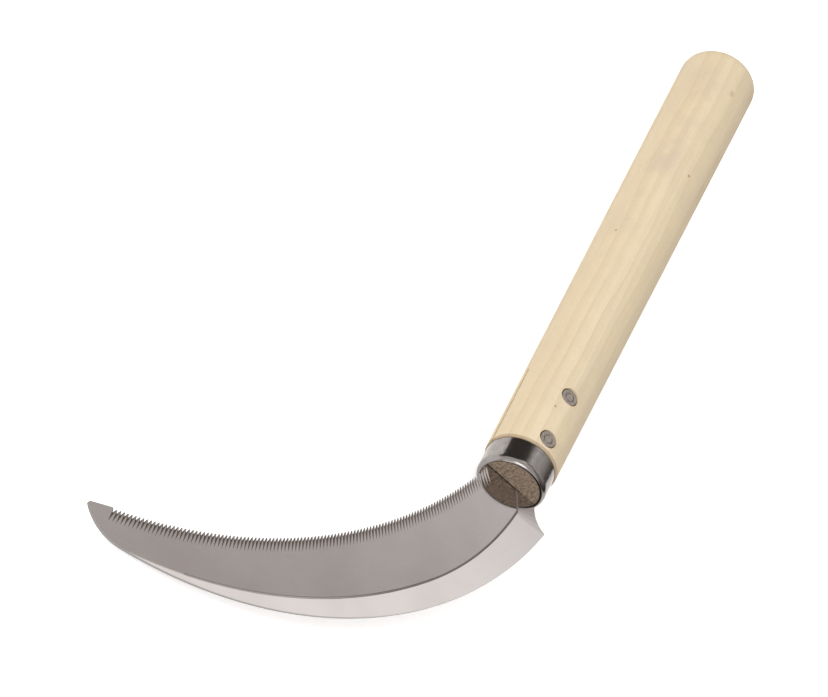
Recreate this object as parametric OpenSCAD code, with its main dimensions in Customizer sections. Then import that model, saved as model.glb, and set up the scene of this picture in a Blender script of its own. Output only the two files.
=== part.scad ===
// Serrated sickle: a thin curved saw blade in a turned wooden handle.
//
// Every piece is drawn in the tool's own axes first: X runs along the handle
// from the wood's front face (X = 0) to the butt, Y runs across towards the
// blade's tip, and Z rises from the middle of the blade's sheet. lay_down()
// then turns the whole tool the way it rests on a table, on the underside of
// the handle and on the tip of the blade.

/* [Blade] */
// Thickness of the steel sheet
sheet_t = 1.2; // [1.1:0.05:1.3]
// Radius of the outer edge
spine_r = 167.3; // [166.8:0.1:167.6]
// Radius of the nose, where the outer edge turns up to the tip
nose_r = 19; // [17:0.5:20]
// Length of the plain edge between the tip and the first tooth
land_l = 9.6; // [9:0.2:10.2]
// Radius of the hollow at the neck
neck_r = 12.5; // [12:0.1:13]
// Radius that rounds the points at the tip and at the heel
point_round = 1.1; // [0.8:0.1:1.4]

/* [Teeth] */
// Radius of the curve that the tooth points lie on
tooth_edge_r = 202; // [201.8:0.1:202.4]
// Number of grooves
tooth_count = 115; // [60:1:115]
// Step from tooth to tooth along the edge
tooth_step = 1.494; // [1.44:0.01:1.5]
// Angle that each groove leans towards the tip
tooth_rake = 25; // [15:1:30]
// Length of a groove, measured along it
groove_l = 5.8; // [3.6:0.1:6]
// Depth of a groove at the edge
groove_depth = 0.72; // [0.6:0.02:0.78]
// Width of the slope ground on the back of the edge
bevel_w = 4; // [3:0.25:5]
// Thickness that the slope leaves at the edge
edge_t = 0.25; // [0.2:0.05:0.4]

/* [Pressed rim] */
// Angle that the strip outside the crease rises
rim_angle = 6; // [4:0.5:8]
// Width of the pressed line in the crease
crease_w = 0.8; // [0.6:0.05:0.9]
// Depth of the pressed line
crease_depth = 0.2; // [0.1:0.02:0.24]

/* [Handle] */
// Length from the front face to the butt
handle_l = 252; // [236:1:268]
// Diameter behind the ferrule
handle_front_d = 28; // [27.8:0.1:29]
// Diameter at the butt
handle_butt_d = 32; // [30:0.5:34]
// Radius that rounds the butt
butt_round = 6; // [4:0.5:8]
// Radius that rounds the shoulder behind the ferrule
shoulder_round = 0.4; // [0.2:0.05:0.45]
// Depth of the saw kerf that takes the tang
kerf_l = 51.5; // [50.5:0.5:55]
// Gap on each side of the sheet in the kerf
kerf_gap = 0.05; // [0.03:0.01:0.1]

/* [Tang] */
// Length inside the handle
tang_l = 49; // [47:0.5:50]
// Width at the front face
tang_front_w = 22; // [21:0.2:22.6]
// Width near the inner end
tang_back_w = 18; // [16:0.5:19]

/* [Ferrule] */
// Outside diameter
ferrule_d = 27; // [26.6:0.1:27.4]
// Length
ferrule_l = 11.6; // [10.5:0.1:12.5]
// Thickness of the metal
ferrule_wall = 0.8; // [0.6:0.05:0.9]
// Diameter of the opening in the turned-in lip
lip_open_d = 23.4; // [23:0.1:23.8]
// Outside radius of the turned-in lip
lip_round = 2.2; // [2:0.1:2.4]
// Distance that the lip stands in front of the wood
lip_proud = 0.15; // [0.05:0.05:0.3]
// Radius that rounds the back edge
ferrule_back_round = 0.4; // [0.2:0.05:0.5]

/* [Rivets] */
// Distance of the front rivet from the front face
rivet_front_x = 17.1; // [16.5:0.1:18]
// Distance of the rear rivet from the front face
rivet_rear_x = 40.4; // [38:0.1:42]
// Diameter of the heads
head_d = 7; // [6:0.1:7.5]
// Thickness of a head at its rim
head_t = 1; // [0.8:0.1:1.4]
// Diameter of the shank
shank_d = 3.6; // [3:0.1:4.2]
// Distance of a head's face below the crown of the wood
head_sink = 0.4; // [0.3:0.05:0.6]
// Gap round the head in its recess
head_gap = 0.2; // [0.1:0.05:0.3]
// Gap round the shank in the wood and in the tang
shank_gap = 0.1; // [0.05:0.05:0.2]

/* [Hidden] */
$fn = 96;
$fs = 0.2;

// A cutter reaches this far past the face that it opens.
past = 1;
// Larger than the whole tool, for cutters that take off one side of it.
beyond = 400;
// Depth of the blocks that the sheet is cut with.
deep = 10;

// Centre of the outer edge's curve, and the direction from it to the point
// where the outer edge meets the nose.
spine_centre = [27.1, 142.0];
nose_start = 190.5;

// The curve of the tooth points runs from the corner where the plain edge ends
// to the middle of the handle's front face, at any radius.
edge_from = [-127, 120.8];
edge_to = [0, 10.75];
edge_chord = edge_to - edge_from;
edge_bow = sqrt(tooth_edge_r * tooth_edge_r - edge_chord * edge_chord / 4);
edge_centre = (edge_from + edge_to) / 2
    + edge_bow * [-edge_chord[1], edge_chord[0]] / norm(edge_chord);

// Directions from that centre, to the corner and past the handle.
land_corner = direction(edge_from - edge_centre);
handle_side = 275;

// Two curves touch in this direction from their centres: the outer edge and
// its heel, and the two curves of the crease. It is the long side's direction
// in the right-angled triangle 336, 527, 625, so its two numbers are exact.
joint_dir = [-336, -527] / 625;

// The nose's curve touches the outer edge's curve from inside. It ends at the
// tip, past the half turn between these two directions.
nose_centre = spine_centre + (spine_r - nose_r) * dir(nose_start);
nose_end = 125;

// The plain edge stands proud of the tooth points by this much at its corner.
land_proud = 0.4;
land_heading = 117.9;
land_start = edge_centre + (tooth_edge_r - land_proud) * dir(land_corner);
tip = land_start + land_l * dir(land_heading);

// Near the heel the outer edge curves in more tightly: heel_step is the
// difference in radius. Its slice starts heel_overlap degrees before the joint.
heel_start = direction(joint_dir);
heel_step = 18.75;
heel_overlap = 20;
heel_centre = spine_centre + heel_step * joint_dir;
neck_centre = [3.4, -23.6];

// The two outstanding points: the tip, between the plain edge and the nose, and
// the heel's point, between the outer edge and the neck. A blade is rounded
// there by an arc round a centre that stands back from the point.
tip_sides = [direction(tip - nose_centre) + 90, land_heading + 180];
heel_point = crossing(heel_centre, spine_r - heel_step, neck_centre, neck_r);
heel_sides = [direction(heel_point - neck_centre) - 90, direction(heel_point - heel_centre) - 90];
round_reach = 0.9;
tip_round_centre = round_centre(tip, tip_sides);
tip_rest = tip_round_centre + [0, point_round];

// Grooves: the first stands this far past the corner of the plain edge.
groove_start = 0.81;
step_angle = tooth_step / tooth_edge_r * 180 / PI;
first_groove = land_corner + groove_start / tooth_edge_r * 180 / PI;
groove_slope = atan(groove_depth / groove_l);
bevel_slope = (sheet_t - edge_t) / bevel_w;

// The crease leaves the wood as a straight line, turns a corner and then
// follows two long curves. Outside it the sheet rises.
lead_start = [0.1, -2.78];
lead_heading = -151.2;
mid_centre = [2.75, 111.8];
mid_r = 119.35;
end_step = 62.5;
end_centre = mid_centre - end_step * joint_dir;
end_r = mid_r + end_step;
rim_w = 16;
rim_rise = rim_w * tan(rim_angle);

// The corner of the crease, as a length along the straight line and as a
// direction from the first curve's centre, and the end of the pressed line.
lead_l = out_of_circle(lead_start - mid_centre, dir(lead_heading), mid_r);
corner_side = lead_start + lead_l * dir(lead_heading) - mid_centre;
press_end = 204.7;
press_r = (crease_w * crease_w / 4 + crease_depth * crease_depth) / 2 / crease_depth;

// The sheet bends round the corner to this radius, in a few flat faces between
// the outward directions of the straight line and of the first curve.
corner_bend = 6;
corner_faces = 3;
lead_out = lead_heading + 90;
corner_turn = lead_out + 360 - direction(corner_side);
corner_centre = mid_centre + corner_side
    - corner_bend / cos(corner_turn / 2) * dir(lead_out - corner_turn / 2);

// Handle and ferrule.
taper = (handle_butt_d - handle_front_d) / 2 / (handle_l - butt_round);
ferrule_back = ferrule_l - lip_proud;
spigot_r = ferrule_d / 2 - ferrule_wall;
kerf_w = sheet_t + 2 * kerf_gap;
end_face_gap = 0.05;

// Rivets: the crown is the top of the wood over each rivet.
head_face = handle_front_d / 2 + taper * rivet_front_x - head_sink;
rivet_xs = [rivet_front_x, rivet_rear_x];

// At rest the table touches the handle along its underside and the blade at
// the tip. The handle's taper lifts its front, and the tool leans over to the
// side that the blade is on.
nod = atan(taper);
tip_reach = norm([tip_rest[1], sheet_t / 2]);
lean = asin((-handle_front_d / 2 - taper * tip_rest[0]) / tip_reach)
    - atan2(-sheet_t / 2, tip_rest[1]);
rest_height = handle_front_d / 2 * cos(nod);

// Ends of the resting tool along and across, for its middle.
nose_far_x = (nose_centre[0] - nose_r) * cos(nod) - nose_centre[1] * sin(lean) * sin(nod);
rest_mid_x = (handle_l * cos(nod) + handle_butt_d / 2 * sin(nod) + nose_far_x) / 2;
rest_mid_y = (tip_rest[1] * cos(lean) + sheet_t / 2 * sin(-lean) - handle_butt_d / 2) / 2;

// Unit vector at an angle from +X.
function dir(angle) = [cos(angle), sin(angle)];

// Angle of a vector from +X, between 0 and 360 degrees.
function direction(v) = atan2(-v[1], -v[0]) + 180;

// Where two circles cross, on the right of the way from one centre to the other.
function crossing(a, r_a, b, r_b) =
    let (way = (b - a) / norm(b - a),
        along = (norm(b - a) * norm(b - a) + r_a * r_a - r_b * r_b) / 2 / norm(b - a))
    a + along * way + sqrt(r_a * r_a - along * along) * [way[1], -way[0]];

// Centre of the arc that rounds a point. The arc crosses both sides near to
// where it would touch them.
function round_centre(point, sides) =
    point + round_reach * point_round / sin((sides[1] - sides[0]) / 2)
        * dir((sides[0] + sides[1]) / 2);

// Length along a direction from a place inside a circle round the origin to
// that circle.
function out_of_circle(from, heading, r) =
    -from * heading + sqrt(pow(from * heading, 2) - from * from + r * r);

// Puts the tool down on the table with its middle over the origin.
module lay_down() {
    translate([-rest_mid_x, -rest_mid_y, rest_height])
        rotate([0, -nod, 0]) rotate([lean, 0, 0]) children();
}

// Turns a shape drawn round Z so that it runs along X.
module along_x() {
    rotate([90, 0, 90]) children();
}

// Pie slice of a disc between two directions less than 180 degrees apart.
module slice(centre, r, from, to) {
    far = r / cos((to - from) / 2) + past;
    translate(centre) intersection() {
        circle(r);
        polygon([[0, 0], far * dir(from), 1.5 * far * dir((from + to) / 2), far * dir(to)]);
    }
}

// Outline of the part of the blade that is in front of the handle.
module blade_outline() {
    difference() {
        union() {
            slice(nose_centre, nose_r, nose_end, nose_start);
            slice(spine_centre, spine_r, nose_start, heel_start);
            slice(heel_centre, spine_r - heel_step, heel_start - heel_overlap, handle_side);
        }
        land_cut();
        slice(edge_centre, tooth_edge_r, land_corner, handle_side);
        translate(neck_centre) circle(neck_r);
        translate([0, -beyond]) square(2 * beyond);
        point_cut(tip, tip_sides);
        point_cut(heel_point, heel_sides);
    }
}

// What rounding takes off a point whose two sides leave it in these directions.
module point_cut(point, sides) {
    centre = round_centre(point, sides);
    far = 3 * point_round;
    difference() {
        polygon([centre, centre + far * dir(sides[0] - 90),
            centre - far * dir((sides[0] + sides[1]) / 2), centre + far * dir(sides[1] + 90)]);
        translate(centre) circle(point_round);
    }
}

// Everything on the open side of the plain edge near the tip. It overlaps the
// slice that cuts the toothed edge.
module land_cut() {
    outside_tip = tip + past * dir(land_heading);
    in_slice = edge_centre + tooth_edge_r / 2 * dir(land_corner + 10);
    polygon([outside_tip, land_start, in_slice, edge_centre + [0, beyond / 4],
        outside_tip + [0, beyond / 4]]);
}

// Outline of the tang, from inside the blade to its end in the kerf.
module tang_outline() {
    chamfer = 3;
    root = 12;
    root_step = 6;
    root_side = lead_start[1] + root_step;
    polygon([
        [-root, root_side], [-root, tang_front_w / 2 - past], [0, tang_front_w / 2],
        [tang_l - chamfer, tang_back_w / 2], [tang_l, tang_back_w / 2 - chamfer],
        [tang_l, chamfer - tang_back_w / 2], [tang_l - chamfer, -tang_back_w / 2],
        [0, -tang_front_w / 2], [0, lead_start[1]]
    ]);
}

// The side of the joint that is towards the nose, straight up and down.
module nose_side() {
    line = 4 * end_step * joint_dir;
    linear_extrude(2 * deep, center = true)
        polygon([mid_centre, mid_centre + line, mid_centre + line - [beyond, 0],
            mid_centre + [-beyond, beyond / 4]]);
}

// A ring whose top rises outwards and passes through height 0 at radius r.
module rising_ring(centre, r) {
    inside = 2;
    translate(concat(centre, 0)) rotate_extrude() polygon([
        [r - inside, -deep], [r + rim_w, -deep],
        [r + rim_w, rim_rise], [r - inside, -inside * tan(rim_angle)]
    ]);
}

// These blocks end together in the sheet's surface. This one is level.
module level_block() {
    translate([-beyond, -beyond / 4, -deep]) cube([beyond + past, beyond, deep]);
}

// The block that rises outside the straight line.
module lead_block() {
    translate(concat(lead_start, 0)) rotate([rim_angle, 0, lead_heading])
        translate([-rim_w, -rim_w / 2, -deep]) cube([3 * rim_w, 2 * rim_w, deep]);
}

// One of the blocks that rise outside the bend at the corner.
module corner_block(i) {
    out = lead_out - corner_turn * i / (corner_faces + 1);
    translate(concat(corner_centre + corner_bend * dir(out), 0))
        rotate([rim_angle, 0, out - 90])
        translate([-rim_w, -rim_w / 2, -deep]) cube([2 * rim_w, 2 * rim_w, deep]);
}

// The block that rises outside the first curve.
module mid_block() {
    difference() {
        rising_ring(mid_centre, mid_r);
        nose_side();
    }
}

// The block that rises outside the second curve.
module end_block() {
    intersection() {
        rising_ring(end_centre, end_r);
        nose_side();
    }
}

// A ring of round section, cut to the part between two directions.
module press_ring(centre, r, from, to) {
    far = 1.2 * r;
    intersection() {
        translate(concat(centre, 0)) rotate_extrude() translate([r, 0]) circle(press_r);
        linear_extrude(2 * deep, center = true)
            polygon([centre, centre + far * from, centre + far * to]);
    }
}

// The line pressed into the crease.
module pressed_line() {
    translate([0, 0, sheet_t / 2 + press_r - crease_depth]) {
        translate(concat(lead_start, 0)) rotate([0, 0, lead_heading]) along_x()
            linear_extrude(lead_l) circle(press_r);
        press_ring(mid_centre, mid_r, joint_dir, corner_side / mid_r);
        press_ring(end_centre, end_r, dir(press_end), joint_dir);
    }
}

// One groove of the saw edge, with its bottom line running out of the sheet.
module groove() {
    side = 2;
    translate([0, 0, sheet_t / 2 - groove_depth]) rotate([0, -groove_slope, 0])
        translate([-past, 0, 0]) along_x()
        linear_extrude(groove_l + 2 * past) polygon([[0, 0], [side, side], [-side, side]]);
}

// All grooves along the edge.
module grooves() {
    for (i = [0 : tooth_count - 1]) {
        at = first_groove + i * step_angle;
        translate(concat(edge_centre + tooth_edge_r * dir(at), 0))
            rotate([0, 0, at - tooth_rake]) groove();
    }
}

// The wedge ground off the back of the toothed edge.
module back_bevel() {
    turn = first_groove + tooth_count * step_angle - land_corner;
    low = -sheet_t / 2 - past * bevel_slope;
    translate(concat(edge_centre, 0)) rotate([0, 0, land_corner])
        rotate_extrude(angle = turn) polygon([
            [tooth_edge_r + bevel_w + past, low],
            [tooth_edge_r - past, sheet_t / 2 - edge_t + past * bevel_slope],
            [tooth_edge_r - past, low]
        ]);
}

// The blade: one sheet with its tang, its risen rim and its saw edge.
module blade() {
    color("lightgrey") lay_down() difference() {
        union() {
            difference() {
                intersection() {
                    translate([0, 0, -sheet_t]) linear_extrude(2 * sheet_t + rim_rise)
                        blade_outline();
                    translate([0, 0, sheet_t / 2]) {
                        level_block();
                        lead_block();
                        for (i = [1 : corner_faces]) corner_block(i);
                        mid_block();
                        end_block();
                    }
                }
                translate([0, 0, -sheet_t / 2]) level_block();
                translate([0, 0, -sheet_t / 2]) lead_block();
                for (i = [1 : corner_faces]) translate([0, 0, -sheet_t / 2]) corner_block(i);
                translate([0, 0, -sheet_t / 2]) mid_block();
                translate([0, 0, -sheet_t / 2]) end_block();
            }
            translate([0, 0, -sheet_t / 2]) linear_extrude(sheet_t) tang_outline();
        }
        pressed_line();
        back_bevel();
        grooves();
        rivet_bores(shank_d / 2 + shank_gap);
    }
}

// Holes for both rivets through everything.
module rivet_bores(r) {
    for (x = rivet_xs) translate([x, 0, -handle_butt_d])
        cylinder(r = r, h = 2 * handle_butt_d);
}

// Half section of what fills the ferrule: X is the radius, Y runs along the
// handle. It is also the inside of the ferrule.
module spigot_section(r, corner, front, back) {
    translate([0, front]) square([r - corner, back - front]);
    translate([0, front + corner]) square([r, back - front - corner]);
    translate([r - corner, front + corner]) intersection() {
        circle(corner);
        translate([0, -corner]) square(corner);
    }
}

// Turns a half section round the handle's axis.
module turned() {
    rotate([0, 90, 0]) mirror([1, 0, 0]) rotate_extrude() children();
}

// Half section of the handle behind the ferrule.
module grip_section() {
    slope = norm([1, taper]);
    butt_x = handle_l - butt_round;
    round_r = handle_front_d / 2 + taper * butt_x - butt_round * slope;
    front_r = handle_front_d / 2 + taper * ferrule_back;
    polygon([
        [0, ferrule_back], [front_r - shoulder_round, ferrule_back],
        [front_r, ferrule_back + shoulder_round],
        [round_r + butt_round / slope, butt_x - butt_round * taper / slope],
        [round_r, butt_x], [round_r, handle_l], [0, handle_l]
    ]);
    translate([round_r, butt_x]) intersection() {
        circle(butt_round);
        translate([0, -taper * butt_round / slope]) square(2 * butt_round);
    }
}

// The wooden handle, with its spigot, kerf and rivet holes.
module handle() {
    head_seat = head_face - head_t;
    color("wheat") lay_down() difference() {
        turned() {
            spigot_section(spigot_r, lip_round - ferrule_wall, ferrule_wall - lip_proud,
                ferrule_back);
            square([lip_open_d / 2 - end_face_gap, ferrule_back]);
            grip_section();
        }
        translate([-past, -beyond / 2, -kerf_w / 2]) cube([kerf_l + past, beyond, kerf_w]);
        rivet_bores(shank_d / 2 + shank_gap);
        for (x = rivet_xs, side = [0, 1]) translate([x, 0, 0]) mirror([0, 0, side])
            translate([0, 0, head_seat]) cylinder(r = head_d / 2 + head_gap, h = handle_butt_d);
    }
}

// The ferrule: a drawn steel ring whose front edge is turned in over the wood.
module ferrule() {
    color("silver") lay_down() turned() difference() {
        difference() {
            spigot_section(ferrule_d / 2, lip_round, -lip_proud, ferrule_back);
            translate([ferrule_d / 2 - ferrule_back_round, ferrule_back - ferrule_back_round])
                difference() {
                    square(past);
                    circle(ferrule_back_round);
                }
        }
        spigot_section(spigot_r, lip_round - ferrule_wall, ferrule_wall - lip_proud,
            ferrule_back + past);
        translate([0, -past]) square([lip_open_d / 2, ferrule_l]);
    }
}

// One rivet with a flat head at each end and a shallow ring in each face.
module rivet() {
    rim = 0.3;
    ring_r = head_d / 4;
    ring_w = 0.25;
    head_seat = head_face - head_t;
    difference() {
        union() {
            cylinder(d = shank_d, h = 2 * head_seat + head_t, center = true);
            for (side = [0, 1]) mirror([0, 0, side]) translate([0, 0, head_seat]) {
                cylinder(d = head_d, h = head_t - rim);
                translate([0, 0, head_t - rim])
                    cylinder(d1 = head_d, d2 = head_d - 2 * rim, h = rim);
            }
        }
        for (side = [0, 1]) mirror([0, 0, side]) translate([0, 0, head_face])
            rotate_extrude() translate([ring_r, 0]) circle(ring_w);
    }
}

// Both rivets.
module rivets() {
    color("gainsboro") lay_down() for (x = rivet_xs) translate([x, 0, 0]) rivet();
}

handle();
ferrule();
blade();
rivets();
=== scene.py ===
"""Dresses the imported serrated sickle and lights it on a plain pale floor.

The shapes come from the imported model. This script gives every piece its finish
and sets the floor, the soft light and the camera. Positions inside a finish are
in the tool's own axes, in millimetres: X runs along the handle from the wood's
front face to the butt, Y runs across towards the blade's tip, and Z rises from
the middle of the blade's sheet.
"""

import logging
import math
from dataclasses import dataclass, field
from enum import Enum

import bpy
from mathutils import Euler, Matrix, Vector

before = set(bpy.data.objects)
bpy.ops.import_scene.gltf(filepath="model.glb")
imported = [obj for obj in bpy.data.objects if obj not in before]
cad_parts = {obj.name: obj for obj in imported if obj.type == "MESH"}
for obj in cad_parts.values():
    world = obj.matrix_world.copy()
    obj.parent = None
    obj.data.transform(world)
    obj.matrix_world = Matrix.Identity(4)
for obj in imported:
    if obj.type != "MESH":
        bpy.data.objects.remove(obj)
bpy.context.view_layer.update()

log = logging.getLogger("sickle")

Colour = tuple[float, float, float, float]
Place = tuple[float, float, float]
Flat = tuple[float, float]
Socket = bpy.types.NodeSocket
Input = Socket | float | tuple[float, ...]

MM = 0.001


class Surface(Enum):
    """What a finish is made of, as the shader's metallic value."""

    METAL = 1.0
    PLAIN = 0.0


@dataclass(frozen=True)
class RestPose:
    """How the tool's own axes lie in the model's frame.

    Args:
        nod: Angle that the handle's taper lifts its axis, in degrees.
        lean: Angle that the tool leans towards the blade's side, in degrees.
        origin: Middle of the wood's front face in the model's frame, in metres.
    """

    nod: float = 0.465809
    lean: float = -5.487002
    origin: Place = (-0.05724949, -0.05622946, 0.01399954)

    @property
    def angles(self) -> Place:
        """Turns about X, Y and Z that lay the tool down."""
        return (math.radians(self.lean), math.radians(-self.nod), 0.0)

    @property
    def matrix(self) -> Matrix:
        """The same turns and the shift, for places in the tool's own axes."""
        turn = Euler(self.angles, "XYZ").to_matrix().to_4x4()
        return Matrix.Translation(self.origin) @ turn @ Matrix.Scale(MM, 4)


POSE = RestPose()


class Graph:
    """Adds nodes to a node tree and links them, one call for each step."""

    def __init__(self, tree: bpy.types.NodeTree) -> None:
        """Starts from an empty tree."""
        self.tree = tree
        tree.nodes.clear()

    def add(self, kind: str, **settings: object) -> bpy.types.Node:
        """Adds one node.

        Args:
            kind: The node's type.
            settings: Its properties by name.

        Returns:
            The new node.
        """
        made = self.tree.nodes.new(kind)
        for name, value in settings.items():
            setattr(made, name, value)
        return made

    def feed(self, socket: Socket, value: Input) -> None:
        """Gives an input its value.

        Args:
            socket: The input.
            value: An output to link to it, or a plain value to write on it.
        """
        if isinstance(value, Socket):
            self.tree.links.new(value, socket)
        else:
            socket.default_value = value

    def math(self, operation: str, a: Input, b: Input = 0.0,
             clamp: bool = False) -> Socket:
        """Adds one arithmetic step.

        Args:
            operation: Blender's name for the step.
            a: First number.
            b: Second number, where the step has one.
            clamp: Whether the result is kept between 0 and 1.

        Returns:
            The result.
        """
        node = self.add("ShaderNodeMath", operation=operation, use_clamp=clamp)
        self.feed(node.inputs[0], a)
        self.feed(node.inputs[1], b)
        return node.outputs[0]

    def times(self, a: Input, b: Input) -> Socket:
        """Returns the product of two numbers."""
        return self.math("MULTIPLY", a, b)

    def plus(self, a: Input, b: Input) -> Socket:
        """Returns the sum of two numbers."""
        return self.math("ADD", a, b)

    def minus(self, a: Input, b: Input) -> Socket:
        """Returns the difference of two numbers."""
        return self.math("SUBTRACT", a, b)

    def size(self, a: Input) -> Socket:
        """Returns a number without its sign."""
        return self.math("ABSOLUTE", a)

    def length(self, a: Input, b: Input) -> Socket:
        """Returns the long side of the right-angled triangle with sides a and b."""
        squares = self.plus(self.math("POWER", a, 2.0), self.math("POWER", b, 2.0))
        return self.math("SQRT", squares)

    def vector_math(self, operation: str, a: Input, b: Input) -> bpy.types.Node:
        """Adds one step with vectors.

        Args:
            operation: Blender's name for the step.
            a: First vector.
            b: Second vector.

        Returns:
            The step's node.
        """
        node = self.add("ShaderNodeVectorMath", operation=operation)
        self.feed(node.inputs[0], a)
        self.feed(node.inputs[1], b)
        return node

    def combine(self, x: Input, y: Input, z: Input = 0.0) -> Socket:
        """Makes a vector of three numbers.

        Args:
            x: First number.
            y: Second number.
            z: Third number.

        Returns:
            The vector.
        """
        node = self.add("ShaderNodeCombineXYZ")
        for socket, value in zip(node.inputs, (x, y, z)):
            self.feed(socket, value)
        return node.outputs[0]

    def split(self, vector: Input) -> bpy.types.NodeOutputs:
        """Takes a vector apart.

        Args:
            vector: The vector.

        Returns:
            Its three numbers.
        """
        node = self.add("ShaderNodeSeparateXYZ")
        self.feed(node.inputs[0], vector)
        return node.outputs

    def span(self, value: Input, low: float, high: float,
             start: float = 0.0, end: float = 1.0) -> Socket:
        """Makes a smooth step.

        Args:
            value: The number that it follows.
            low: Where the step begins.
            high: Where it ends.
            start: Result below low.
            end: Result above high.

        Returns:
            The step's height.
        """
        node = self.add("ShaderNodeMapRange", interpolation_type="SMOOTHSTEP")
        self.feed(node.inputs["Value"], value)
        node.inputs["From Min"].default_value = low
        node.inputs["From Max"].default_value = high
        node.inputs["To Min"].default_value = start
        node.inputs["To Max"].default_value = end
        return node.outputs["Result"]

    def noise(self, place: Input, scale: float, detail: float = 3.0,
              rough: float = 0.5, bend: float = 0.0) -> Socket:
        """Makes cloudy values from about 0 to 1.

        Args:
            place: Where each value is taken.
            scale: Number of clouds in one unit.
            detail: Number of finer layers.
            rough: Strength of the finer layers.
            bend: How much the clouds are pulled about.

        Returns:
            The value.
        """
        node = self.add("ShaderNodeTexNoise", noise_dimensions="3D")
        self.feed(node.inputs["Vector"], place)
        node.inputs["Scale"].default_value = scale
        node.inputs["Detail"].default_value = detail
        node.inputs["Roughness"].default_value = rough
        node.inputs["Distortion"].default_value = bend
        return node.outputs["Fac"]

    def blend(self, share: Input, first: Input, second: Input) -> Socket:
        """Mixes two colours.

        Args:
            share: Share of the second, from 0 to 1.
            first: First colour.
            second: Second colour.

        Returns:
            The mixed colour.
        """
        node = self.add("ShaderNodeMix", data_type="RGBA")
        self.feed(node.inputs[0], share)
        self.feed(node.inputs[6], first)
        self.feed(node.inputs[7], second)
        return node.outputs[2]

    def level(self, share: Input, first: Input, second: Input) -> Socket:
        """Mixes two numbers.

        Args:
            share: Share of the second, from 0 to 1.
            first: First number.
            second: Second number.

        Returns:
            The mixed number.
        """
        node = self.add("ShaderNodeMix", data_type="FLOAT")
        self.feed(node.inputs[0], share)
        self.feed(node.inputs[2], first)
        self.feed(node.inputs[3], second)
        return node.outputs[0]

    def bump(self, height: Input, depth: float, strength: float) -> Socket:
        """Makes a normal that follows a height.

        Args:
            height: The height.
            depth: Depth of one unit of height, in metres.
            strength: Strength of the effect, from 0 to 1.

        Returns:
            The normal.
        """
        node = self.add("ShaderNodeBump")
        node.inputs["Strength"].default_value = strength
        node.inputs["Distance"].default_value = depth
        self.feed(node.inputs["Height"], height)
        return node.outputs["Normal"]

    def tool_place(self) -> Socket:
        """Finds the place in the tool's own axes.

        Returns:
            The place, in millimetres.
        """
        where = self.add("ShaderNodeTexCoord").outputs["Object"]
        node = self.add("ShaderNodeMapping", vector_type="TEXTURE")
        self.feed(node.inputs["Vector"], where)
        node.inputs["Location"].default_value = POSE.origin
        node.inputs["Rotation"].default_value = POSE.angles
        node.inputs["Scale"].default_value = (MM, MM, MM)
        return node.outputs["Vector"]

    def shader(self, colour: Input, rough: Input, normal: Socket,
               surface: Surface | Socket, **sockets: float) -> None:
        """Ends the tree in one Principled shader.

        Args:
            colour: Base colour.
            rough: Roughness.
            normal: Normal from a bump.
            surface: Metal or plain, or a link that gives the metallic value. On the
                blade that value is lowered where soiling, painted shade and painted
                reflection dull the metal.
            sockets: Other inputs of the shader by name, as plain numbers.
        """
        node = self.add("ShaderNodeBsdfPrincipled")
        metal = surface.value if isinstance(surface, Surface) else surface
        self.feed(node.inputs["Base Color"], colour)
        self.feed(node.inputs["Roughness"], rough)
        self.feed(node.inputs["Metallic"], metal)
        self.feed(node.inputs["Normal"], normal)
        for name, value in sockets.items():
            node.inputs[name.replace("_", " ")].default_value = value
        out = self.add("ShaderNodeOutputMaterial")
        self.feed(out.inputs["Surface"], node.outputs[0])


def new_material(name: str) -> tuple[bpy.types.Material, Graph]:
    """Makes an empty node material.

    Args:
        name: The material's name.

    Returns:
        The material and the helper that fills it.
    """
    made = bpy.data.materials.new(name)
    made.use_nodes = True
    return made, Graph(made.node_tree)


@dataclass(frozen=True)
class Speck:
    """A small dark mark in the wood.

    Args:
        at: Its place in the tool's own axes, in millimetres.
        radius: Its size across the grain, in millimetres.
        depth: How dark it is, from 0 to 1.
        stretch: How many times longer it is along the grain.
    """

    at: Place
    radius: float
    depth: float
    stretch: float

    def shade(self, g: Graph, place: Socket) -> Socket:
        """Finds how dark the speck makes the wood.

        Args:
            g: The material's helper.
            place: Place in the tool's own axes.

        Returns:
            Share of the mark's colour, from 0 to 1.
        """
        offset = g.vector_math("SUBTRACT", place, self.at).outputs[0]
        squeeze = (1.0 / self.stretch, 1.0, 1.0)
        offset = g.vector_math("MULTIPLY", offset, squeeze).outputs[0]
        far = g.vector_math("LENGTH", offset, (0.0, 0.0, 0.0)).outputs["Value"]
        return g.span(far, self.radius * 0.4, self.radius, self.depth, 0.0)


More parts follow.
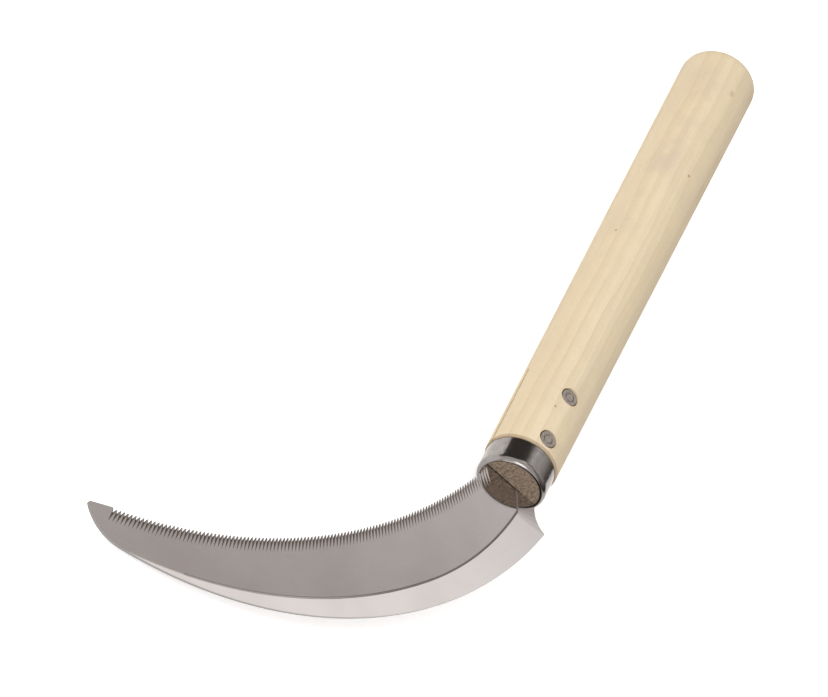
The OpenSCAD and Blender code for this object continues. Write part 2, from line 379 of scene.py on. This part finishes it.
@dataclass(frozen=True)
class WoodFinish:
    """Pale, close-grained, sanded wood with a darker cut end.

    Args:
        pale: Colour of most of the wood.
        deep: Colour of its broad deeper patches.
        streak: Colour of growth layers, pores and speckle.
        smudge: Colour of the greyer patches.
        end_pale: Lighter colour of the cut end.
        end_deep: Darker colour of the cut end.
        mark: Colour of specks, and of the painted shade where the wood meets the
            ferrule.
        kerf_shade: Colour of the painted shade along the saw kerf, where the tang's
            sheet meets the cut end.
        layer_share: How strongly the growth layers show.
        streak_share: How strongly the fine streaks show.
        speckle_share: How strongly the speckle shows.
        pore_share: How strongly the pores show.
        pith: How far the middle of the growth layers lies from the axis, away
            from the blade's tip and upwards, in millimetres.
        layers_per_mm: Number of growth layers in a millimetre.
        shoulder_x: Where the wood meets the ferrule, in millimetres.
        butt_x: Where the rounded butt turns to end grain, in millimetres.
        specks: The single dark marks.
    """

    pale: Colour = (0.775, 0.665, 0.475, 1.0)
    deep: Colour = (0.735, 0.610, 0.410, 1.0)
    streak: Colour = (0.560, 0.420, 0.255, 1.0)
    smudge: Colour = (0.600, 0.490, 0.385, 1.0)
    end_pale: Colour = (0.295, 0.224, 0.162, 1.0)
    end_deep: Colour = (0.120, 0.087, 0.060, 1.0)
    mark: Colour = (0.22, 0.13, 0.07, 1.0)
    kerf_shade: Colour = (0.030, 0.022, 0.017, 1.0)
    layer_share: float = 0.26
    streak_share: float = 0.14
    speckle_share: float = 0.16
    pore_share: float = 0.26
    pith: Flat = (31.0, 22.0)
    layers_per_mm: float = 0.17
    shoulder_x: float = 11.6
    butt_x: float = 249.5
    specks: tuple[Speck, ...] = (
        Speck((32.2, 3.4, 13.8), 0.5, 0.75, 1.6),
        Speck((130.7, 12.5, 8.5), 0.7, 0.6, 1.3),
        Speck((175.1, -1.6, 15.3), 0.7, 0.7, 1.2),
        Speck((229.7, -1.9, 15.8), 1.4, 0.25, 1.8),
    )

    def build(self) -> bpy.types.Material:
        """Builds the wood's material.

        Returns:
            The material.
        """
        material, g = new_material("pale_wood")
        place = g.tool_place()
        x, y, z = g.split(place)
        grain = g.combine(g.times(x, 0.012), y, z)
        broad = g.noise(grain, 0.11, 3.0, 0.55, 0.6)
        fine = g.noise(grain, 0.9, 4.0, 0.6, 0.2)
        pores = self._pores(g, x, y, z)
        colour = g.blend(g.span(broad, 0.3, 0.7), self.pale, self.deep)
        colour = self._figure(g, colour, fine, pores, x, y, z)
        colour = g.blend(self._smudge(g, place, x, y, z), colour, self.smudge)
        for speck in self.specks:
            colour = g.blend(speck.shade(g, place), colour, self.mark)
        shoulder = g.size(g.minus(x, self.shoulder_x))
        # Painted shade in the narrow seam where the wood meets the ferrule's back edge.
        colour = g.blend(g.span(shoulder, 0.25, 1.1, 0.55, 0.0), colour, self.mark)
        end = self._cut_end(g, place, z)
        colour = g.blend(g.span(x, 0.1, 0.3, 1.0, 0.0), colour, end)
        butt = g.times(g.span(x, self.butt_x, self.butt_x + 2.0), 0.35)
        colour = g.blend(butt, colour, self.streak)
        rough = g.span(fine, 0.3, 0.8, 0.52, 0.66)
        height = g.minus(g.times(fine, 0.5), pores)
        g.shader(colour, rough, g.bump(height, 0.00012, 0.5), Surface.PLAIN,
                 Specular_IOR_Level=0.35)
        return material

    def _figure(self, g: Graph, colour: Socket, fine: Socket, pores: Socket,
                x: Socket, y: Socket, z: Socket) -> Socket:
        """Lays growth layers, streaks, speckle and pores over a colour.

        Args:
            g: The material's helper.
            colour: The colour under them.
            fine: Values of the fine streaks.
            pores: Values of the pores.
            x: Place along the handle.
            y: Place across it.
            z: Height.

        Returns:
            The new colour.
        """
        layers = g.times(self._layers(g, x, y, z), self.layer_share)
        colour = g.blend(layers, colour, self.streak)
        colour = g.blend(g.span(fine, 0.45, 0.8, 0.0, self.streak_share), colour,
                         self.streak)
        dots = g.noise(g.combine(g.times(x, 0.5), y, z), 2.4, 3.0, 0.75)
        colour = g.blend(g.span(dots, 0.36, 0.66, 0.0, self.speckle_share), colour,
                         self.streak)
        return g.blend(g.times(pores, self.pore_share), colour, self.streak)

    def _cut_end(self, g: Graph, place: Socket, z: Socket) -> Socket:
        """Makes the mottled end grain, with a ragged line of painted shade along the
        kerf.

        Args:
            g: The material's helper.
            place: Place in the tool's own axes.
            z: Height above the middle of the sheet.

        Returns:
            The end's colour.
        """
        mottle = g.noise(place, 0.9, 5.0, 0.7)
        end = g.blend(g.span(mottle, 0.35, 0.65), self.end_pale, self.end_deep)
        ragged = g.plus(g.size(z), g.times(mottle, -1.3))
        # Painted shade where the tang's sheet meets the cut end, along the kerf.
        return g.blend(g.span(ragged, 0.25, 0.55, 0.9, 0.0), end, self.kerf_shade)

    def _layers(self, g: Graph, x: Socket, y: Socket, z: Socket) -> Socket:
        """Makes the growth layers, cut by the round handle into long arches.

        Args:
            g: The material's helper.
            x: Place along the handle.
            y: Place across it.
            z: Height.

        Returns:
            How far each point is into the late wood of its layer, from 0 to 1.
        """
        sway = g.noise(g.combine(g.times(x, 0.01), 0.0, 0.0), 1.3, 2.0)
        side = g.plus(g.times(sway, 7.0), self.pith[0])
        far = g.length(g.plus(y, side), g.minus(z, self.pith[1]))
        ripple = g.noise(g.combine(g.times(x, 0.02), y, z), 0.10, 2.0)
        radius = g.plus(far, g.times(ripple, 6.0))
        layer = g.math("FRACT", g.times(radius, self.layers_per_mm))
        late = g.span(layer, 0.2, 0.95, 0.0, 0.7)
        late = g.plus(late, g.times(g.span(layer, 0.86, 0.95), 0.5))
        return g.times(late, g.span(layer, 0.95, 0.985, 1.0, 0.0))

    @staticmethod
    def _pores(g: Graph, x: Socket, y: Socket, z: Socket) -> Socket:
        """Returns 1 in the short fine dashes along the grain and 0 beside them."""
        dash = g.noise(g.combine(g.times(x, 0.22), y, z), 3.6, 2.0, 0.5)
        return g.span(dash, 0.56, 0.72)

    @staticmethod
    def _smudge(g: Graph, place: Socket, x: Socket, y: Socket, z: Socket) -> Socket:
        """Makes the greyer patches, along one side and over the butt half.

        Args:
            g: The material's helper.
            place: Place in the tool's own axes.
            x: Place along the handle.
            y: Place across it.
            z: Height.

        Returns:
            Share of the smudge's colour.
        """
        side = g.math("ARCTAN2", z, y)
        band = g.times(g.span(side, 0.25, 0.6), g.span(side, 0.9, 1.5, 1.0, 0.0))
        reach = g.times(g.span(x, 90.0, 130.0), g.span(x, 225.0, 245.0, 1.0, 0.0))
        patch = g.plus(g.times(band, g.times(reach, 0.5)), 0.12)
        return g.times(patch, g.span(g.noise(place, 0.05, 4.0, 0.6), 0.4, 0.65))


@dataclass(frozen=True)
class BladeFinish:
    """Satin steel sheet, polished along its curve, with grinding along its teeth.

    Centres, directions and radii are those of the sheet's own curves, in
    millimetres.

    Args:
        plate: Colour of the polished sheet.
        cloud: Colour of its slightly duller clouds.
        scratch_soil_and_shade: Colour of fine scratches, and of the grooves, which are
            darkened partly by soiling and partly as painted shade.
        deep_soil_and_shade: Colour deep in the grooves, partly soiling and partly
            painted shade.
        crease_reflection_colour: Colour of the painted dark reflection in the pressed
            line's bend.
        side: Colour of the sheared sides.
        spine_centre: Centre of the outer edge.
        spine_r: Radius that the polishing lines are stretched by.
        edge_centre: Centre of the curve of the teeth.
        tooth_r: Radius of the curve of the teeth.
        strip_w: Width of the strip along the teeth whose grooves carry soiling and
            painted shade.
        groove_fade_x: Where the grooves' soiling and painted shade begin to fade towards
            the handle.
        crease_arcs: Centre and radius of the crease's two curves.
        crease_w: Half width of the pressed line, at full depth and at its edge.
        joint_dir: Direction from the first centre to where the two curves meet.
        lead_start: Start of the pressed line's straight part.
        lead_dir: Direction of that straight part.
        lead_end_x: Where the straight part ends.
    """

    plate: Colour = (0.535, 0.506, 0.497, 1.0)
    cloud: Colour = (0.505, 0.470, 0.458, 1.0)
    scratch_soil_and_shade: Colour = (0.175, 0.145, 0.125, 1.0)
    deep_soil_and_shade: Colour = (0.085, 0.066, 0.055, 1.0)
    crease_reflection_colour: Colour = (0.115, 0.094, 0.082, 1.0)
    side: Colour = (0.275, 0.262, 0.249, 1.0)
    spine_centre: Flat = (27.1, 142.0)
    spine_r: float = 167.0
    edge_centre: Flat = (56.8, 204.6)
    tooth_r: float = 202.0
    strip_w: float = 4.6
    groove_fade_x: float = -12.0
    crease_arcs: tuple[tuple[Flat, float], ...] = (
        ((2.75, 111.8), 119.35), ((36.35, 164.5), 181.85))
    crease_w: Flat = (0.25, 0.55)
    joint_dir: Flat = (-0.5376, -0.8432)
    lead_start: Flat = (0.1, -2.78)
    lead_dir: Flat = (-0.8763, -0.4818)
    lead_end_x: float = -7.9

    def build(self) -> bpy.types.Material:
        """Builds the blade's material.

        Returns:
            The material.
        """
        material, g = new_material("satin_steel")
        place = g.tool_place()
        x, y, z = g.split(place)
        lines, scratches = self._polish(g, x, y)
        cloud = g.noise(place, 0.035, 3.0, 0.5)
        colour = g.blend(g.span(cloud, 0.35, 0.7), self.plate, self.cloud)
        colour = g.blend(g.span(scratches, 0.66, 0.74, 0.0, 0.07), colour, self.scratch_soil_and_shade)
        left = g.span(x, self.groove_fade_x, self.groove_fade_x + 6.0, 1.0, 0.25)
        # Soiling and painted shade on the grooves' sloping sides, weaker near the
        # handle.
        groove_soil_and_shade = g.times(self._grooves(g, x, y), left)
        colour = g.blend(groove_soil_and_shade, colour, self.scratch_soil_and_shade)
        # Soiling and painted shade, darker towards the bottoms of the grooves.
        low = g.times(groove_soil_and_shade, g.span(z, -0.1, 0.5, 0.6, 0.0))
        colour = g.blend(low, colour, self.deep_soil_and_shade)
        # Painted dark reflection along the pressed line, weaker far from the handle.
        crease_reflection_share = g.times(self._crease(g, x, y), g.span(x, -105.0, -70.0, 0.3, 0.85))
        colour = g.blend(crease_reflection_share, colour, self.crease_reflection_colour)
        sides = g.span(self._flatness(g), 0.2, 0.45, 1.0, 0.0)
        colour = g.blend(sides, colour, self.side)
        rough = g.span(lines, 0.3, 0.7, 0.06, 0.12)
        for mask in (groove_soil_and_shade, crease_reflection_share, sides):
            rough = g.plus(rough, g.times(mask, 0.3))
        height = g.plus(lines, g.times(scratches, 0.6))
        # Soiling and painted shade in the grooves, and the painted reflection in the
        # pressed line, lower the metallic value.
        soil_and_shade = g.plus(g.times(groove_soil_and_shade, 0.65), g.times(crease_reflection_share, 0.7))
        metal_share = g.math("SUBTRACT", Surface.METAL.value, soil_and_shade, clamp=True)
        g.shader(colour, rough, g.bump(height, 0.00001, 0.25), metal_share)
        return material

    def _polish(self, g: Graph, x: Socket, y: Socket) -> tuple[Socket, Socket]:
        """Makes the fine lines and the single scratches along the blade's curve.

        Args:
            g: The material's helper.
            x: Place along the handle's axis.
            y: Place across it.

        Returns:
            Values of the lines and of the scratches.
        """
        far, turn = self._polar(g, x, y, self.spine_centre)
        along = g.times(turn, self.spine_r)
        lines = g.noise(g.combine(g.times(along, 0.02), far), 5.0, 3.0, 0.6)
        scratches = g.noise(g.combine(g.times(along, 0.05), far, 7.0), 2.1, 2.0, 0.4)
        return lines, scratches

    @staticmethod
    def _flatness(g: Graph) -> Socket:
        """Returns 1 where a face lies level and 0 where it stands upright."""
        normal = g.add("ShaderNodeNewGeometry").outputs["True Normal"]
        return g.size(g.split(normal)[2])

    def _grooves(self, g: Graph, x: Socket, y: Socket) -> Socket:
        """Finds the sloping sides of the grooves along the teeth.

        Args:
            g: The material's helper.
            x: Place along the handle's axis.
            y: Place across it.

        Returns:
            1 on those sides and 0 elsewhere.
        """
        far, _ = self._polar(g, x, y, self.edge_centre)
        reach = self.tooth_r + self.strip_w
        zone = g.span(far, reach, reach + 0.5, 1.0, 0.0)
        return g.times(zone, g.span(self._flatness(g), 0.82, 0.92, 1.0, 0.0))

    @staticmethod
    def _polar(g: Graph, x: Socket, y: Socket, centre: Flat) -> tuple[Socket, Socket]:
        """Finds where a place is, seen from a centre in the sheet.

        Args:
            g: The material's helper.
            x: Place along the handle's axis.
            y: Place across it.
            centre: The centre.

        Returns:
            The distance and the direction.
        """
        dx = g.minus(x, centre[0])
        dy = g.minus(y, centre[1])
        return g.length(dx, dy), g.math("ARCTAN2", dy, dx)

    @staticmethod
    def _beside(g: Graph, x: Socket, y: Socket, start: Flat, heading: Flat) -> Socket:
        """Returns how far a place is beside a line, with a sign for its side."""
        along_x = g.times(g.minus(x, start[0]), heading[1])
        return g.minus(along_x, g.times(g.minus(y, start[1]), heading[0]))

    def _crease(self, g: Graph, x: Socket, y: Socket) -> Socket:
        """Finds the pressed line along the crease.

        Args:
            g: The material's helper.
            x: Place along the handle's axis.
            y: Place across it.

        Returns:
            1 in the line and 0 away from it.
        """
        masks = []
        for centre, radius in self.crease_arcs:
            far, _ = self._polar(g, x, y, centre)
            masks.append(g.span(g.size(g.minus(far, radius)), *self.crease_w, 1.0, 0.0))
        joint = self._beside(g, x, y, self.crease_arcs[0][0], self.joint_dir)
        nose_side = g.span(joint, -0.1, 0.1)
        line = g.times(masks[0], g.minus(1.0, nose_side))
        line = g.plus(line, g.times(masks[1], nose_side))
        ahead = g.span(x, self.lead_end_x, self.lead_end_x + 0.4)
        line = g.times(line, g.minus(1.0, ahead))
        beside = g.minus(self._beside(g, x, y, self.lead_start, self.lead_dir), 0.1)
        lead = g.minus(1.0, g.span(g.size(beside), 0.15, 0.4))
        return g.plus(line, g.times(lead, ahead))


@dataclass(frozen=True)
class PlatedFinish:
    """Bright plated steel, polished with fine lines along the handle.

    Args:
        bright: Colour of the clean plating.
        dull: Colour of its worn clouds and lines.
        lip_shade: Colour of the painted shade on the lip's inner edge, against the wood.
        lip_r: Radius up to which the lip carries that painted shade, in millimetres.
        lip_shift: How much that radius falls in a millimetre towards the tip.
        lip_x: Place along the handle up to which the lip carries that painted shade.
    """

    bright: Colour = (0.305, 0.287, 0.279, 1.0)
    dull: Colour = (0.205, 0.186, 0.172, 1.0)
    lip_shade: Colour = (0.012, 0.009, 0.007, 1.0)
    lip_r: float = 12.15
    lip_shift: float = 0.03
    lip_x: float = 0.75

    def build(self) -> bpy.types.Material:
        """Builds the ferrule's material.

        Returns:
            The material.
        """
        material, g = new_material("bright_plate")
        place = g.tool_place()
        x, y, z = g.split(place)
        lines = g.noise(g.combine(g.times(x, 0.06), y, z), 4.5, 3.0, 0.6)
        cloud = g.noise(place, 0.22, 3.0, 0.6)
        worn = g.plus(g.span(cloud, 0.4, 0.75, 0.0, 0.5),
                      g.span(lines, 0.35, 0.7, 0.0, 0.5))
        colour = g.blend(worn, self.bright, self.dull)
        inner = self._inner_edge(g, x, y, z)
        # Painted shade on the lip's inner edge, where it meets the wood's end.
        colour = g.blend(inner, colour, self.lip_shade)
        rough = g.plus(g.span(lines, 0.35, 0.7, 0.08, 0.24),
                       g.span(cloud, 0.4, 0.8, 0.0, 0.06))
        rough = g.plus(rough, g.times(inner, 0.4))
        g.shader(colour, rough, g.bump(lines, 0.00003, 0.3), Surface.METAL)
        return material

    def _inner_edge(self, g: Graph, x: Socket, y: Socket, z: Socket) -> Socket:
        """Finds the painted shade on the lip's inner edge against the wood, which is
        wider on one side.

        Args:
            g: The material's helper.
            x: Place along the handle.
            y: Place across it.
            z: Height.

        Returns:
            1 on the edge and 0 elsewhere.
        """
        limit = g.minus(self.lip_r, g.times(y, self.lip_shift))
        inside = g.span(g.minus(g.length(y, z), limit), -0.1, 0.15, 1.0, 0.0)
        return g.times(inside, g.span(x, self.lip_x, self.lip_x + 0.1, 1.0, 0.0))


@dataclass(frozen=True)
class RivetFinish:
    """Dull steel heads with faint rings from the press.

    Args:
        steel: Colour of the heads.
        dark: Colour of their duller clouds and rims.
        front_x: Place of the front rivet along the handle, in millimetres.
        rear_x: Place of the rear rivet.
        rim_r: Where a head's rim begins.
        ring_turn: How far the ring pattern turns in a millimetre, in radians.
    """

    steel: Colour = (0.360, 0.318, 0.285, 1.0)
    dark: Colour = (0.283, 0.250, 0.218, 1.0)
    front_x: float = 17.1
    rear_x: float = 40.4
    rim_r: float = 3.0
    ring_turn: float = 9.0

    def build(self) -> bpy.types.Material:
        """Builds the rivets' material.

        Returns:
            The material.
        """
        material, g = new_material("dull_steel")
        place = g.tool_place()
        x, y, _ = g.split(place)
        middle = (self.front_x + self.rear_x) / 2
        half = (self.rear_x - self.front_x) / 2
        far = g.length(g.minus(g.size(g.minus(x, middle)), half), y)
        wobble = g.noise(place, 1.2, 3.0, 0.6)
        wave = g.plus(g.times(far, self.ring_turn), g.times(wobble, 4.0))
        colour = g.blend(g.span(wobble, 0.4, 0.7), self.steel, self.dark)
        rim = g.span(far, self.rim_r, self.rim_r + 0.5, 0.0, 0.6)
        colour = g.blend(rim, colour, self.dark)
        rough = g.span(wobble, 0.3, 0.7, 0.28, 0.42)
        g.shader(colour, rough, g.bump(g.math("SINE", wave), 0.00002, 0.2),
                 Surface.METAL)
        return material


@dataclass
class Piece:
    """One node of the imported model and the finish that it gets.

    Args:
        node: The node's name.
        finish: What builds its material.
    """

    node: str
    finish: WoodFinish | BladeFinish | PlatedFinish | RivetFinish

    def dress(self, nodes: dict[str, bpy.types.Object]) -> int:
        """Puts the finish in the node's material slots.

        Args:
            nodes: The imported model's objects by name.

        Returns:
            The node's number of faces.
        """
        piece = nodes[self.node]
        material = self.finish.build()
        if not piece.material_slots:
            piece.data.materials.append(material)
        for slot in piece.material_slots:
            slot.material = material
        return len(piece.data.polygons)


@dataclass
class Handle(Piece):
    """The turned wooden handle."""

    node: str = "handle"
    finish: WoodFinish = field(default_factory=WoodFinish)


@dataclass
class Ferrule(Piece):
    """The drawn ring over the handle's front end."""

    node: str = "ferrule"
    finish: PlatedFinish = field(default_factory=PlatedFinish)


@dataclass
class Blade(Piece):
    """The curved saw blade."""

    node: str = "blade"
    finish: BladeFinish = field(default_factory=BladeFinish)


@dataclass
class Rivets(Piece):
    """The two rivets through handle and tang."""

    node: str = "rivets"
    finish: RivetFinish = field(default_factory=RivetFinish)


@dataclass
class Floor:
    """A plain pale floor at the height that the tool rests on.

    Args:
        half: Half of its side, in metres.
        colour: Its colour.
        lift: Light added to it where the camera, metal or glass shows it.
    """

    half: float = 3.0
    colour: Colour = (0.93, 0.93, 0.93, 1.0)
    lift: float = 0.42

    def build(self) -> None:
        """Makes the floor."""
        h = self.half
        mesh = bpy.data.meshes.new("floor")
        mesh.from_pydata([(-h, -h, 0), (h, -h, 0), (h, h, 0), (-h, h, 0)], [],
                         [(0, 1, 2, 3)])
        floor = bpy.data.objects.new("floor", mesh)
        bpy.context.scene.collection.objects.link(floor)
        mesh.materials.append(self._material())

    def _material(self) -> bpy.types.Material:
        """Builds the floor's material.

        Returns:
            The material.
        """
        material, g = new_material("pale_floor")
        path = g.add("ShaderNodeLightPath").outputs
        seen = g.math("MAXIMUM", path["Is Camera Ray"], path["Is Glossy Ray"])
        seen = g.math("MAXIMUM", seen, path["Is Transmission Ray"])
        matte = g.add("ShaderNodeBsdfDiffuse")
        matte.inputs["Color"].default_value = self.colour
        glow = g.add("ShaderNodeEmission")
        g.feed(glow.inputs["Strength"], g.times(seen, self.lift))
        both = g.add("ShaderNodeAddShader")
        g.feed(both.inputs[0], matte.outputs[0])
        g.feed(both.inputs[1], glow.outputs[0])
        out = g.add("ShaderNodeOutputMaterial")
        g.feed(out.inputs["Surface"], both.outputs[0])
        return material


@dataclass
class Lamp:
    """A square soft light that points at the tool.

    Args:
        name: Its name.
        at: Its place, in metres.
        size: Its side, in metres.
        power: Its power, in watts.
    """

    name: str
    at: Place
    size: float
    power: float

    def build(self) -> None:
        """Makes the lamp. Shiny surfaces don't show it."""
        light = bpy.data.lights.new(self.name, "AREA")
        light.size = self.size
        light.energy = self.power
        lamp = bpy.data.objects.new(self.name, light)
        lamp.location = self.at
        lamp.rotation_euler = (-Vector(self.at)).to_track_quat("-Z", "Y").to_euler()
        lamp.visible_glossy = False
        bpy.context.scene.collection.objects.link(lamp)


@dataclass
class Room:
    """The light that comes from all round, as levels of a plain white.

    Directions are a height above the floor and a heading from +X, in degrees.

    Args:
        front_low: Level straight ahead, below the upper edge of a light wall.
        front_high: Level above that edge.
        wall_top: Heights where that edge begins and ends, at a heading of -12.
        wall_tilt: Rise of the edge for each degree of heading.
        side: Brightest level to the right, where it fades down to the floor.
        side_top: Height where it is brightest.
        far_side: How much of the right side's level is left well behind the wall.
        card: Level of a dark card to the left of the light wall.
        back: Level everywhere else.
        window: Level of a small window behind the camera.
        window_side: Direction of that window.
        window_edge: Cosines of its angle at its outer and inner edge.
        floor_line: Level right down at the floor.
        dim_tint: Colour of the light where its level is low.
        bright_tint: Colour of the light where its level is high.
    """

    front_low: float = 1.45
    front_high: float = 0.60
    wall_top: Flat = (42.0, 53.0)
    wall_tilt: float = 0.42
    side: float = 0.93
    side_top: float = 48.0
    far_side: float = 0.5
    card: float = 0.095
    back: float = 1.0
    window: float = 4.0
    window_side: Place = (-0.928, 0.147, 0.342)
    window_edge: Flat = (0.965, 0.98)
    floor_line: float = 0.06
    dim_tint: Colour = (1.0, 0.90, 0.84, 1.0)
    bright_tint: Colour = (1.0, 0.985, 0.975, 1.0)

    def build(self) -> None:
        """Makes the world's light."""
        world = bpy.data.worlds.new("studio")
        world.use_nodes = True
        g = Graph(world.node_tree)
        toward = g.combine(*g.split(g.add("ShaderNodeTexCoord").outputs["Generated"]))
        level = self._level(g, toward)
        near = g.vector_math("DOT_PRODUCT", toward, self.window_side)
        bright = g.span(near.outputs["Value"], *self.window_edge)
        level = g.level(bright, level, self.window)
        back = g.add("ShaderNodeBackground")
        tint = g.blend(g.span(level, 0.3, 0.95), self.dim_tint, self.bright_tint)
        g.feed(back.inputs["Color"], tint)
        g.feed(back.inputs["Strength"], level)
        out = g.add("ShaderNodeOutputWorld")
        g.feed(out.inputs["Surface"], back.outputs[0])
        bpy.context.scene.world = world

    def _level(self, g: Graph, toward: Socket) -> Socket:
        """Finds the light's level in a direction, without the window.

        Args:
            g: The world's helper.
            toward: The direction.

        Returns:
            The level.
        """
        x, y, z = g.split(toward)
        height = g.times(g.math("ARCSINE", z), 180 / math.pi)
        heading = g.times(g.math("ARCTAN2", y, x), 180 / math.pi)
        above = g.minus(height, g.times(g.plus(heading, 12.0), self.wall_tilt))
        level = g.span(above, *self.wall_top, self.front_low, self.front_high)
        right = g.times(g.span(heading, -30.0, -18.0, 1.0, 0.0),
                        g.span(heading, -150.0, -135.0))
        fade = g.times(g.span(height, 0.0, self.side_top, self.floor_line, self.side),
                       g.span(heading, -85.0, -55.0, self.far_side, 1.0))
        level = g.level(right, level, fade)
        left = g.times(g.span(heading, -12.0, 24.0),
                       g.span(heading, 80.0, 118.0, 1.0, 0.0))
        left = g.times(left, g.span(height, 50.0, 68.0, 1.0, 0.0))
        level = g.level(left, level, self.card)
        behind = g.plus(g.span(heading, -150.0, -135.0, 1.0, 0.0),
                        g.span(heading, 80.0, 118.0))
        return g.level(behind, level, self.back)


@dataclass
class ViewCamera:
    """The camera at the photograph's place and angle.

    Args:
        at: Its place in the tool's own axes, in millimetres.
        right: Direction of the picture's right side in the same axes.
        up: Direction of the picture's top.
        back: Direction from the tool to the camera's back.
        lens: Focal length for the sensor's width, in millimetres.
        sensor: Width of the sensor, in millimetres.
    """

    at: Place = (-838.668, 335.843, 894.103)
    right: Place = (0.3634768, -0.7314563, 0.5769370)
    up: Place = (0.6412958, 0.6456606, 0.4145625)
    back: Place = (-0.6757398, 0.2193034, 0.7037626)
    lens: float = 152.022
    sensor: float = 36.0

    def build(self) -> None:
        """Makes the camera and makes it the scene's own."""
        data = bpy.data.cameras.new("camera")
        data.sensor_fit = "HORIZONTAL"
        data.sensor_width = self.sensor
        data.lens = self.lens
        data.clip_end = 50.0
        camera = bpy.data.objects.new("camera", data)
        turn = Matrix((self.right, self.up, self.back)).transposed().to_4x4()
        place, facing, _ = (POSE.matrix @ Matrix.Translation(self.at) @ turn).decompose()
        camera.matrix_world = Matrix.Translation(place) @ facing.to_matrix().to_4x4()
        bpy.context.scene.collection.objects.link(camera)
        bpy.context.scene.camera = camera


@dataclass
class Studio:
    """Floor, lamps, surrounding light and camera.

    Args:
        floor: The floor.
        room: The light from all round.
        lamps: The lamps.
        camera: The camera.
    """

    floor: Floor = field(default_factory=Floor)
    room: Room = field(default_factory=Room)
    lamps: tuple[Lamp, ...] = (
        Lamp("key", (-0.7, 1.3, 1.6), 1.2, 21.0),
        Lamp("fill", (-1.5, -0.9, 1.3), 1.6, 1.5),
    )
    camera: ViewCamera = field(default_factory=ViewCamera)

    def build(self) -> None:
        """Makes all of them."""
        for part in (self.floor, self.room, *self.lamps, self.camera):
            part.build()
        bpy.context.scene.view_settings.view_transform = "Standard"


def main() -> None:
    """Dresses every piece, then builds the studio round them."""
    logging.basicConfig(level=logging.INFO, format="%(name)s: %(message)s")
    for piece in (Handle(), Ferrule(), Blade(), Rivets()):
        faces = piece.dress(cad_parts)
        log.info("%s dressed, %d faces", piece.node, faces)
    Studio().build()


if __name__ == "__main__":
    main()
